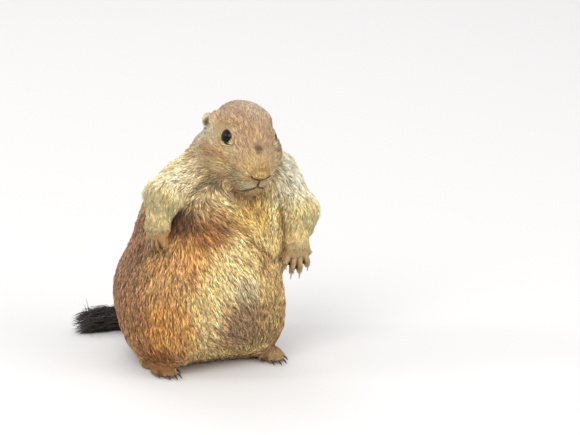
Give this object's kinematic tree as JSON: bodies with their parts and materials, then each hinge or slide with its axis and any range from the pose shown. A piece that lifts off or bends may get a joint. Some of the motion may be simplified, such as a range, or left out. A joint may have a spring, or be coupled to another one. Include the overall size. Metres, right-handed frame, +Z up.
{
  "type": "prairie dog figure",
  "caption": "Life-size still model of a plump prairie dog sitting up on its haunches, with folded forelegs and a short dark brush tail laid on the floor.",
  "frame": {"origin": "on the floor, under the middle of the bounding box", "axes": "+Z up, the animal faces -Y, its left side is +X"},
  "size_m": [0.1552, 0.1932, 0.2122],
  "materials": {
    "head_coat": "short reddish brown fur with dark ticking",
    "neck_coat": "short pale buff fur",
    "body_coat": "short golden brown fur, cream on the belly",
    "forearm_coat": "short golden orange fur",
    "thigh_coat": "short orange brown fur",
    "paw_coat": "very short tan fur over the paw",
    "tail_coat": "long coarse blackish hair",
    "ear_skin": "thinly haired skin",
    "nose_skin": "bare skin with fine down",
    "claw": "dark horn",
    "eye": "wet and glossy"
  },
  "bodies": {
    "root": {"arm_left_fore": "forearm_coat", "arm_left_upper": "neck_coat", "arm_right_fore": "forearm_coat", "arm_right_upper": "neck_coat", "ear_left": "ear_skin", "ear_right": "ear_skin", "eye_left": "eye", "eye_right": "eye", "foot_left": "paw_coat", "foot_left_claw_1": "claw", "foot_left_claw_2": "claw", "foot_left_claw_3": "claw", "foot_left_claw_4": "claw", "foot_left_claw_5": "claw", "foot_right": "paw_coat", "foot_right_claw_1": "claw", "foot_right_claw_2": "claw", "foot_right_claw_3": "claw", "foot_right_claw_4": "claw", "foot_right_claw_5": "claw", "hand_left": "paw_coat", "hand_left_claw_1": "claw", "hand_left_claw_2": "claw", "hand_left_claw_3": "claw", "hand_left_claw_4": "claw", "hand_left_claw_5": "claw", "hand_right": "paw_coat", "hand_right_claw_1": "claw", "hand_right_claw_2": "claw", "hand_right_claw_3": "claw", "hand_right_claw_4": "claw", "hand_right_claw_5": "claw", "head": "head_coat", "neck": "neck_coat", "nose": "nose_skin", "tail": "tail_coat", "thigh_left": "thigh_coat", "thigh_right": "thigh_coat", "torso_lower": "body_coat", "torso_upper": "body_coat"}
  },
  "joints": []
}
